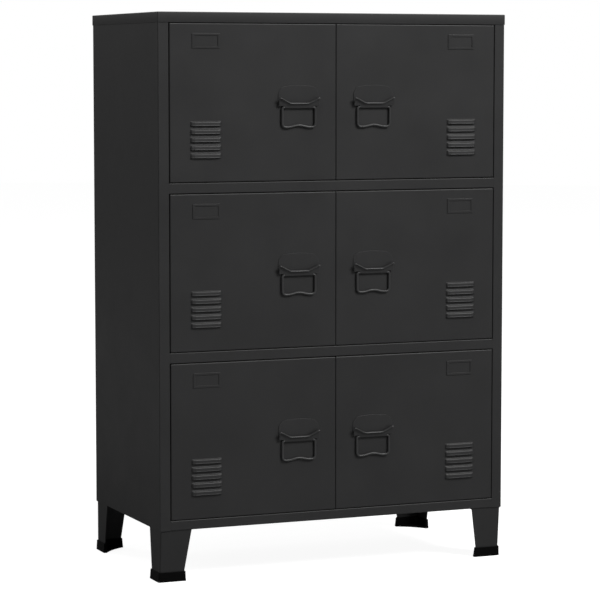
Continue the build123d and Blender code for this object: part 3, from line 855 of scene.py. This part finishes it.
def make_hinge_pins(name):
    """Both pins: a round-nosed shank out of the door's edge, and a flat head inside it."""
    low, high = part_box(f"{name}_hinge_pins")
    door_low, door_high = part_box(f"{name}_door")
    shapes = []
    for edge, tip, axis in ((door_high.z, high.z, "Z"), (door_low.z, low.z, "-Z")):
        reach = abs(tip - edge)
        profile = [
            (-SHEET - PIN_HEAD, 0.0),
            (-SHEET - PIN_HEAD, PIN_HEAD_R - 0.0003),
            (-SHEET - PIN_HEAD + 0.0003, PIN_HEAD_R),
            (-SHEET, PIN_HEAD_R),
            (-SHEET, PIN_R),
            (reach - 0.0006, PIN_R),
            (reach - 0.0002, PIN_R - 0.0003),
            (reach, PIN_R - 0.0009),
            (reach, 0.0),
        ]
        shapes.append(turned(profile, [(*hinge_axis(name), edge)], axis))
    points, faces = join_shapes(shapes)
    pins = mesh_piece(
        f"{name}_pins", points, faces, ZINC_PLATE, f"{name}_door", smooth=False
    )
    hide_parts(f"{name}_hinge_pins")


for name in DOOR_NAMES:
    make_hinge_pins(name)

# ----------------------------------------------------------------------
# Doors: each is one pressed sheet, folded back 18 mm on all four sides with a 12 mm rim turned
# in behind. Five louvres are lanced and pushed out near the hinged side, open along the bottom.

DOOR_RIM = 0.012
DOOR_FOLD_R = 0.0010
LOUVRE_COUNT = 5
LOUVRE_WIDTH = 0.064
LOUVRE_HEIGHT = 0.0094
LOUVRE_PITCH = 0.0156
LOUVRE_PROUD = 0.0042
LOUVRE_END = 0.0085  # each end closes over this length
LOUVRE_FROM_HINGE_EDGE = 0.0415
LOUVRE_BELOW_TOP = 0.198  # down to the open edge of the highest louvre
DOOR_FACE_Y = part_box("left_side_panel")[0].y
DOOR_COAT = powder_coat("door_coat", ANTHRACITE, RUBBED_AND_HIGHLIT_COAT, 0.48, ripple=1.0)


def soft_step(value, low, high):
    """0 below low, 1 above high, with a smooth rise between."""
    share = np.clip((value - low) / (high - low), 0.0, 1.0)
    return share * share * (3 - 2 * share)


def hood(share):
    """How far a louvre has risen, from 0 at its closed edge to 1 at its slightly flared lip."""
    return 0.74 * soft_step(share, 0.0, 0.30) + 0.14 * share + 0.12 * soft_step(share, 0.86, 1.0)


def make_door(name):
    """A tray whose face looks forward, with hoods raised from it as a height over (x, z)."""
    low, high = (np.array(corner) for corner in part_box(f"{name}_door"))
    outward = -1.0 if name.endswith("left") else 1.0
    hinge_edge = low[0] if outward < 0 else high[0]
    louvre_x = sorted(
        hinge_edge - outward * (LOUVRE_FROM_HINGE_EDGE + extra) for extra in (0, LOUVRE_WIDTH)
    )
    end_steps = LOUVRE_END * (1 - np.cos(np.linspace(0, np.pi / 2, 8)))
    across = np.concatenate([
        fold_lines(low[0] + DOOR_FOLD_R, louvre_x[0], 0.03)[:-1],
        louvre_x[0] + end_steps,
        fold_lines(louvre_x[0] + LOUVRE_END, louvre_x[1] - LOUVRE_END, 0.012)[1:-1],
        (louvre_x[1] - end_steps)[::-1],
        fold_lines(louvre_x[1], high[0] - DOOR_FOLD_R, 0.03)[1:],
    ])
    from_end = np.minimum(across - louvre_x[0], louvre_x[1] - across)
    end_rise = np.where(from_end > 0, hood(np.clip(from_end / LOUVRE_END, 0, 1)), 0.0)
    open_columns = np.flatnonzero(end_rise > 0)

    lips = [high[2] - LOUVRE_BELOW_TOP - LOUVRE_PITCH * n for n in range(LOUVRE_COUNT)][::-1]
    hood_steps = np.append(np.linspace(0, 0.14, 3)[:-1], np.linspace(0.14, 1, 14)[:-1])
    along, rise, slits = [], [], []
    start = low[2] + DOOR_FOLD_R
    for lip in lips:
        plain = fold_lines(start, lip, 0.03)
        rows = lip + LOUVRE_HEIGHT * hood_steps
        along += [plain if start < lips[0] else plain[1:], rows]
        rise += [np.zeros(len(along[-2])), hood(1 - (rows - lip) / LOUVRE_HEIGHT)]
        slits.append(sum(map(len, along[:-1])) - 1)
        start = lip + LOUVRE_HEIGHT
    plain = fold_lines(start, high[2] - DOOR_FOLD_R, 0.03)
    along.append(plain)
    rise.append(np.zeros(len(plain)))
    along, rise = np.concatenate(along), np.concatenate(rise)

    depth_at = -LOUVRE_PROUD * rise[:, None] * end_rise[None, :]
    profile = fold_profile(high[1] - DOOR_FACE_Y, DOOR_RIM, front_r=DOOR_FOLD_R)
    flat, faces = tray(across, along, depth_at, profile, [(row, open_columns) for row in slits])
    points = np.stack([flat[:, 0], DOOR_FACE_Y + flat[:, 2], flat[:, 1]], axis=1)
    faces = [face[::-1] for face in faces]
    door = mesh_piece(
        f"{name}_door_sheet", points, faces, DOOR_COAT, f"{name}_door"
    )
    thicken(door, SHEET)
    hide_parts(f"{name}_door")


for name in DOOR_NAMES:
    make_door(name)

# ----------------------------------------------------------------------
# Card holders: a raised frame of folded strip, spot welded near each door's outer top corner. A
# card slides in behind the frame; none is fitted.

CARD_PROUD = 0.0019
CARD_BAND = 0.0044
CARD_CORNER = 0.0015
FITTING_COAT = powder_coat("fitting_coat", ANTHRACITE, RUBBED_AND_HIGHLIT_COAT, 0.46, wear_and_highlight=0.6, dust=0.3)


def ring_round(low, high, corner, profile, fan=4):
    """A closed profile of (outwards, forward) points carried round a rounded rectangle in X and Z.

    The rectangle is the one between low and high shrunk by the corner radius. A profile point
    at distance d lies on that rectangle grown by a circle of radius d.
    """
    low, high = np.array(low) + corner, np.array(high) - corner
    corners = np.array([(high[0], low[1]), high, (low[0], high[1]), low])
    turn = np.linspace(0, np.pi / 2, fan + 1)
    outward, base = [], []
    for quarter, place in enumerate(corners):
        angle = turn + (quarter - 1) * np.pi / 2
        outward.append(np.stack([np.cos(angle), np.sin(angle)], axis=1))
        base.append(np.tile(place, (fan + 1, 1)))
    outward, base = np.concatenate(outward), np.concatenate(base)
    middle = np.sign(base - (low + high) / 2)
    rings = []
    for d, forward in profile:
        flat = base + max(d, 0.0) * outward + min(d, 0.0) * middle
        rings.append(np.stack([flat[:, 0], np.full(len(flat), DOOR_FACE_Y - forward), flat[:, 1]], 1))
    count = len(base)
    number = np.arange(len(profile) * count).reshape(len(profile), count)
    number = np.concatenate([number, number[:1]])
    return np.concatenate(rings), tidy_faces(quads_of(number, closed=True))


def make_card_holder(name):
    """A channel section: up from the door, across the band and down behind its inner edge."""
    low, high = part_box(f"{name}_card_holder")
    outer, inner = CARD_CORNER, CARD_CORNER - CARD_BAND
    profile = [
        (outer, 0.0),
        (outer, CARD_PROUD - 0.0004),
        (outer - 0.0001, CARD_PROUD - 0.0001),
        (outer - 0.0004, CARD_PROUD),
        (inner + 0.0003, CARD_PROUD),
        (inner, CARD_PROUD - 0.0003),
        (inner, CARD_PROUD - SHEET),
        (outer - SHEET, CARD_PROUD - SHEET),
        (outer - SHEET, 0.0),
    ]
    points, faces = ring_round((low.x, low.z), (high.x, high.z), CARD_CORNER, profile)
    holder = mesh_piece(
        f"{name}_card_frame", points, faces, FITTING_COAT, f"{name}_door", False
    )
    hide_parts(f"{name}_card_holder")


for name in DOOR_NAMES:
    make_card_holder(name)

# ----------------------------------------------------------------------
# Handle plates: 1 mm sheet with a round-shouldered top, rolled under the bail and up again into
# a flap that leans out and dips in the middle. It is spot welded to the door.

HANDLE_SHEET = 0.001
ROLL_R = 0.00238
PLATE_HALF = 0.043
PLATE_RISE = 0.0433
PLATE_SHOULDER = 0.014  # radius of the plate's round upper corners
PLATE_CROWN = 0.0045  # the top edge is a shallow arch between the shoulders
FLAP_RISE = 0.020
FLAP_DIP = 0.0083
FLAP_LEVEL_HALF = 0.0175
FLAP_OUT = 0.0088  # the flap's tip in front of the door, less the sheet
ROLL_HALF = 0.0308
EAR_FOOT = 0.0029  # above the bail axis, where the ears outside the roll begin
TIP_ROUND = 0.003  # the outer tips of the flap are rounded over this width
TIP_DROP = 0.0022
PLATE_ROWS = 12  # rows of points down the flat plate, and then round the roll
ROLL_ROWS = 13
HEM_R = 0.00125  # the flap's edge is turned over to the front, to spare the fingers
# The handle's coat is lighter than the door's, as painted light lifting the flap out of its shade; its
# bright fold colour is a painted highlight along the flap's hem and tips.
HANDLE_COAT = powder_coat(
    "handle_coat", (0.0225, 0.0225, 0.0229), (0.085, 0.085, 0.088), 0.4, wear_and_highlight=0.62, dust=0.1
)


def bail_axis(name):
    """Where a bail turns: the middle of its wire's top bar, as (x, y, z)."""
    low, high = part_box(f"{name}_bail")
    return (low.x + high.x) / 2, (low.y + high.y) / 2, high.z - (high.y - low.y) / 2


def plate_columns():
    """Lines across a handle plate, closer together near its shoulders and ears."""
    half = np.concatenate([
        np.linspace(0, FLAP_LEVEL_HALF, 6)[:-1],
        np.linspace(FLAP_LEVEL_HALF, ROLL_HALF, 7)[:-1],
        np.linspace(ROLL_HALF, PLATE_HALF - TIP_ROUND, 5)[:-1],
        PLATE_HALF - TIP_ROUND + TIP_ROUND * np.sin(np.linspace(0, np.pi / 2, 5)),
    ])
    return np.concatenate([-half[:0:-1], half])


def make_handle_plate(name):
    """One sheet followed from its top edge down, round the roll and up to the flap's edge.

    Across the sheet, x is the same in every row. The top edge is a shallow parabola that falls
    away at the shoulders as quarter circles. The flap's edge is level over its dip, and rises
    from there to the tips along one arm of a hyperbola, nearly straight. Outside the roll, the
    sheet is left out between the plate and the flap.
    """
    centre_x, axis_y, axis_z = bail_axis(name)
    x = plate_columns()
    past = np.clip(np.abs(x) - (PLATE_HALF - PLATE_SHOULDER), 0, PLATE_SHOULDER)
    crown = PLATE_CROWN * (x / PLATE_HALF) ** 2
    top_edge = PLATE_RISE - PLATE_SHOULDER + np.sqrt(PLATE_SHOULDER**2 - past**2) - crown
    share = np.clip((np.abs(x) - FLAP_LEVEL_HALF) / (PLATE_HALF - FLAP_LEVEL_HALF), 0, 1)
    climb = (np.sqrt(share**2 + 0.01) - 0.1) / (math.sqrt(1.01) - 0.1)
    past_tip = np.abs(x) - (PLATE_HALF - TIP_ROUND)
    round_tip = TIP_DROP * np.clip(past_tip / TIP_ROUND, 0, 1) ** 2
    flap_edge = FLAP_DIP + (FLAP_RISE - FLAP_DIP) * climb - HEM_R - round_tip

    plate_y = DOOR_FACE_Y - HANDLE_SHEET
    rows_y, rows_z = [], []
    for step in np.linspace(0, 1, PLATE_ROWS):
        rows_y.append(np.full(len(x), plate_y))
        rows_z.append(top_edge + (EAR_FOOT - top_edge) * step)
    for angle in np.linspace(0, np.pi, ROLL_ROWS):
        rows_y.append(np.full(len(x), axis_y + ROLL_R * math.cos(angle)))
        rows_z.append(np.full(len(x), -ROLL_R * math.sin(angle)))
    roll_y = axis_y - ROLL_R
    lean = (roll_y - (DOOR_FACE_Y - FLAP_OUT)) / FLAP_RISE
    for step in np.linspace(0, 1, 9):
        z = EAR_FOOT + (flap_edge - EAR_FOOT) * step
        rows_y.append(roll_y - lean * z)
        rows_z.append(z)
    edge_y = rows_y[-1]
    for angle in np.linspace(0, np.pi * 1.08, 8)[1:]:
        rows_y.append(edge_y - HEM_R * (1 - math.cos(angle)))
        rows_z.append(flap_edge + HEM_R * math.sin(angle))
    y, z = np.array(rows_y), axis_z + np.array(rows_z)
    points = np.stack([np.broadcast_to(centre_x + x, y.shape), y, z], axis=-1).reshape(-1, 3)
    number = np.arange(len(points)).reshape(y.shape)
    quads = quads_of(number).reshape(len(y) - 1, len(x) - 1, 4)
    outer = np.abs(x[:-1] + x[1:]) / 2 > ROLL_HALF
    rolled = np.zeros(len(y) - 1, bool)
    rolled[PLATE_ROWS - 1 : PLATE_ROWS + ROLL_ROWS] = True
    quads = quads[~(rolled[:, None] & outer[None, :])]
    used, faces = np.unique(quads, return_inverse=True)
    faces = faces.reshape(-1, 4)[:, ::-1].tolist()
    plate = mesh_piece(
        f"{name}_handle", points[used], faces, HANDLE_COAT, f"{name}_door"
    )
    thicken(plate, HANDLE_SHEET, soften=0.00028, side=1.0)
    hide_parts(f"{name}_handle_plate")


for name in DOOR_NAMES:
    make_handle_plate(name)

# ----------------------------------------------------------------------
# Bails: a loop of 4.6 mm steel wire, butt welded in its top bar, which turns in the handle
# plate's roll. The lower bar has a slight rise in the middle for the fingers.

WIRE_R = 0.0023
BAIL_HALF = 0.0352
BAIL_DROP = 0.0390
BAIL_BUMP = 0.0036
BAIL_BUMP_HALF = 0.024
BAIL_TOP_BEND = 0.004
BAIL_FOOT_BEND = 0.007
# The bail's coat is lighter than the door's, as painted light for the highlights the round wire
# catches; its bright fold colour is a painted highlight too.
BAIL_COAT = powder_coat(
    "bail_coat", (0.034, 0.034, 0.0345), (0.095, 0.095, 0.098), 0.42, wear_and_highlight=0.5, dust=0.1
)


def arc(centre, radius, start, end, steps):
    """Points on a circle between two angles in degrees."""
    angle = np.radians(np.linspace(start, end, steps))
    return np.stack([centre[0] + radius * np.cos(angle), centre[1] + radius * np.sin(angle)], 1)


def bail_line():
    """The wire's closed centre line in (x, z) round the axis: one half and its mirror image.

    The lower bar is level, with half a cosine wave raised over its middle.
    """
    bar = np.stack([np.linspace(0, BAIL_HALF - BAIL_TOP_BEND, 6), np.zeros(6)], axis=1)
    top = arc((BAIL_HALF - BAIL_TOP_BEND, -BAIL_TOP_BEND), BAIL_TOP_BEND, 90, 0, 8)
    foot_centre = (BAIL_HALF - BAIL_FOOT_BEND, BAIL_FOOT_BEND - BAIL_DROP)
    foot = arc(foot_centre, BAIL_FOOT_BEND, 0, -90, 10)
    x = np.linspace(BAIL_HALF - BAIL_FOOT_BEND, 0, 22)[1:]
    wave = BAIL_BUMP / 2 * (1 + np.cos(np.pi * np.clip(x / BAIL_BUMP_HALF, 0, 1)))
    low_bar = np.stack([x, wave - BAIL_DROP], axis=1)
    leg = np.stack([np.full(4, BAIL_HALF), np.linspace(-BAIL_TOP_BEND, foot[0, 1], 6)[1:-1]], 1)
    half = np.concatenate([bar, top[1:], leg, foot, low_bar])
    return np.concatenate([half, (half * (-1, 1))[-2:0:-1]])


def carry_wire(line, radius, sides=14):
    """A circle carried round a closed line in X and Z, square to it; Y is across the line."""
    along = np.roll(line, -1, axis=0) - np.roll(line, 1, axis=0)
    along /= np.linalg.norm(along, axis=1, keepdims=True)
    beside = np.stack([-along[:, 1], along[:, 0]], axis=1)
    angle = np.linspace(0, 2 * np.pi, sides, endpoint=False)
    flat = line[:, None, :] + radius * np.cos(angle)[None, :, None] * beside[:, None, :]
    depth = np.broadcast_to(radius * np.sin(angle), flat.shape[:2])
    points = np.stack([flat[..., 0], depth, flat[..., 1]], axis=-1).reshape(-1, 3)
    number = np.arange(len(points)).reshape(len(line), sides)
    number = np.concatenate([number, number[:1]])
    return points, quads_of(number, closed=True)


def make_bail(name):
    """The wire loop, hanging from its axis."""
    points, faces = carry_wire(bail_line(), WIRE_R)
    points = points + np.array(bail_axis(name))
    bail = mesh_piece(
        f"{name}_bail_wire", points, faces.tolist(), BAIL_COAT, f"{name}_bail"
    )
    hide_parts(f"{name}_bail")


for name in DOOR_NAMES:
    make_bail(name)

# ----------------------------------------------------------------------
# Setting: a plain white floor and surround, a large soft key light high on the right, a weak fill
# on the left, one behind, and the camera.

scene = bpy.context.scene
scene.view_settings.view_transform = "Standard"
scene.view_settings.look = "None"

FLOOR_R = 14.0
FLOOR_SIDES = 96
FLOOR_BACK = 4.0  # the floor's middle is this far behind the cabinet
FLOOR_GLOW = 0.93  # lifts the floor to the backdrop's white, and leaves a soft shadow on it
floor_mesh = bpy.data.meshes.new("floor")
angles = np.linspace(0, 2 * np.pi, FLOOR_SIDES, endpoint=False)
rim = np.stack([FLOOR_R * np.cos(angles), FLOOR_R * np.sin(angles) + FLOOR_BACK, 0 * angles], 1)
floor_mesh.from_pydata(rim.tolist(), [], [list(range(FLOOR_SIDES))])
floor = bpy.data.objects.new("floor", floor_mesh)
scene.collection.objects.link(floor)
floor_coat, floor_tree, floor_shader = new_material("studio_floor", 0.9, specular=0.0)
floor_shader.inputs["Base Color"].default_value = (0.4, 0.4, 0.4, 1)
floor_shader.inputs["Emission Color"].default_value = (1, 1, 1, 1)
floor_seen = floor_tree.nodes.new("ShaderNodeLightPath")
floor_glow = maths(floor_tree, "MULTIPLY", floor_seen.outputs["Is Camera Ray"], FLOOR_GLOW)
floor_tree.links.new(floor_glow, floor_shader.inputs["Emission Strength"])
floor_mesh.materials.append(floor_coat)

world = bpy.data.worlds.new("studio")
world.use_nodes = True
scene.world = world
sky = world.node_tree
surround = sky.nodes["Background"]
surround.inputs["Color"].default_value = (1, 1, 1, 1)
seen = sky.nodes.new("ShaderNodeLightPath")
strength = sky.nodes.new("ShaderNodeMapRange")
strength.inputs["To Min"].default_value = 0.13
strength.inputs["To Max"].default_value = 1.0
sky.links.new(seen.outputs["Is Camera Ray"], strength.inputs["Value"])
sky.links.new(strength.outputs["Result"], surround.inputs["Strength"])


def softbox(name, place, aim, size, power):
    """A square area light at place that faces aim."""
    light = bpy.data.lights.new(name, "AREA")
    light.shape = "SQUARE"
    light.size = size
    light.energy = power
    lamp = bpy.data.objects.new(name, light)
    scene.collection.objects.link(lamp)
    lamp.location = place
    away = np.array(place) - np.array(aim)
    level = math.hypot(away[0], away[1])
    lamp.rotation_euler = (math.atan2(level, away[2]), 0, math.atan2(away[0], -away[1]))


softbox("key", (3.2, -4.6, 5.4), (0, 0, 0.7), 2.6, 520)
softbox("fill", (-4.6, -1.6, 3.4), (0, 0, 0.7), 2.6, 37)
softbox("rear", (-3.2, 4.6, 3.6), (0, 0, 0.9), 2.2, 60)

camera_data = bpy.data.cameras.new("camera")
camera_data.lens = 153.13
camera_data.sensor_width = 36.0
camera_data.clip_end = 100
camera = bpy.data.objects.new("camera", camera_data)
scene.collection.objects.link(camera)
camera.location = (-2.0325, -4.8466, 1.0013)
camera.rotation_euler = (math.radians(90 - 5.131), 0, math.radians(-22.793))
scene.camera = camera
